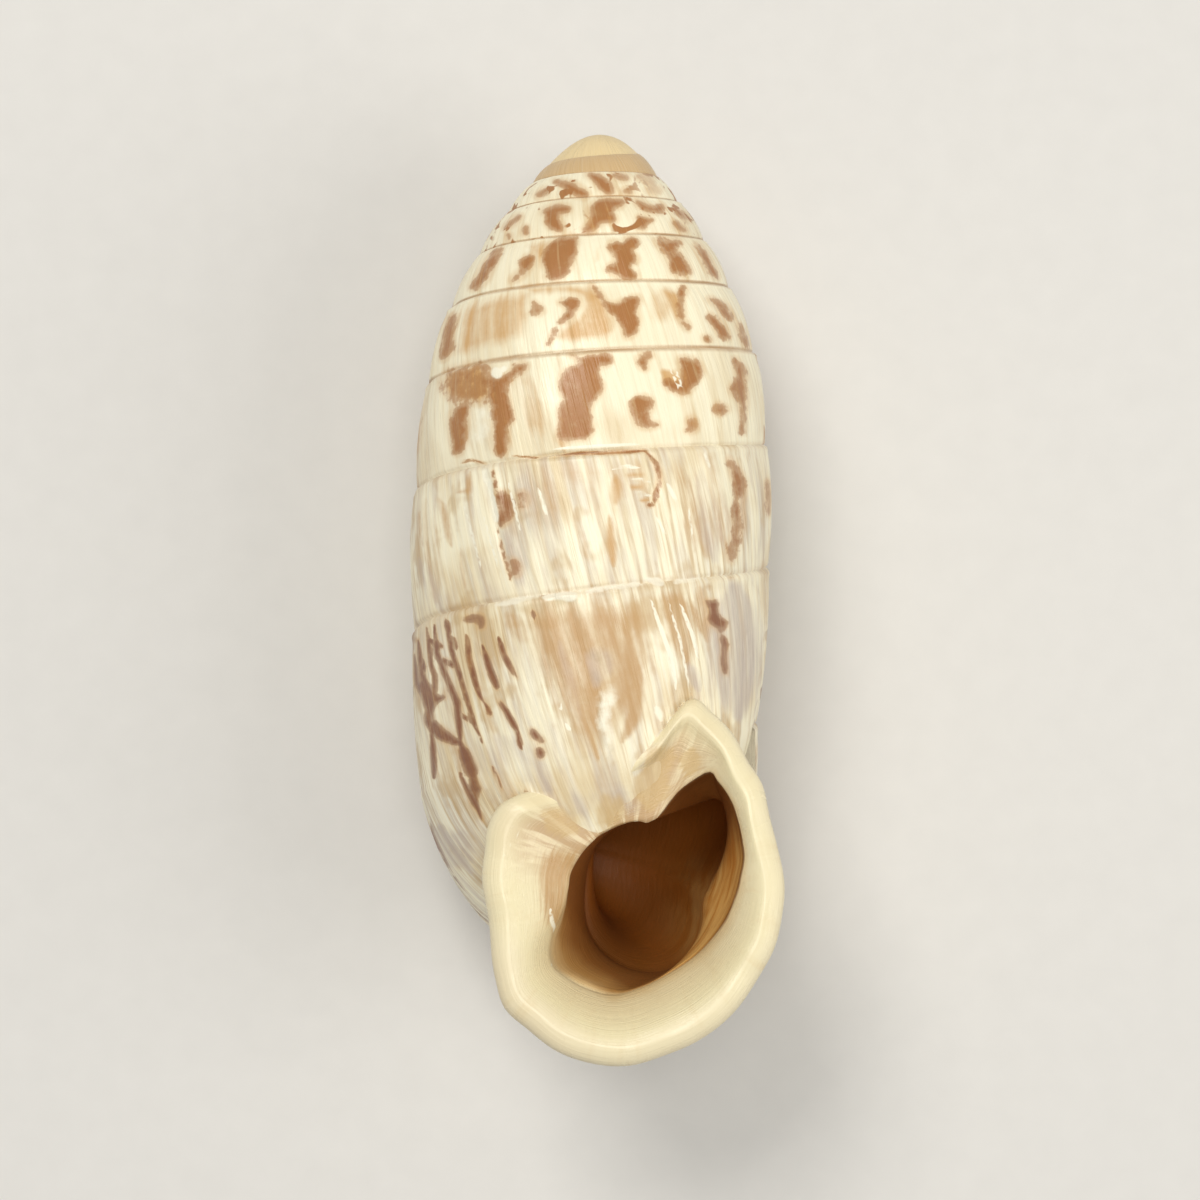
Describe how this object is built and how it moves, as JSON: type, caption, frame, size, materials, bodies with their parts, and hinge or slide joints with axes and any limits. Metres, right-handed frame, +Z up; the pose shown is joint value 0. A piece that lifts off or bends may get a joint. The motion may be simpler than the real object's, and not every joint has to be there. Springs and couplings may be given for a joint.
{
  "type": "land snail shell",
  "caption": "Empty barrel-shaped land snail shell, ribbed and mottled, with a flared open mouth.",
  "frame": {"origin": "centre of the bounding box, at the level the shell rests on", "axes": "+Y along the shell's axis toward the apex, +Z up, the way the mouth faces, as the shell lies on its back"},
  "size_m": [0.0118, 0.0298, 0.0115],
  "materials": {
    "shell_lime": "satin"
  },
  "bodies": {
    "root": {"shell": "shell_lime"}
  },
  "joints": []
}
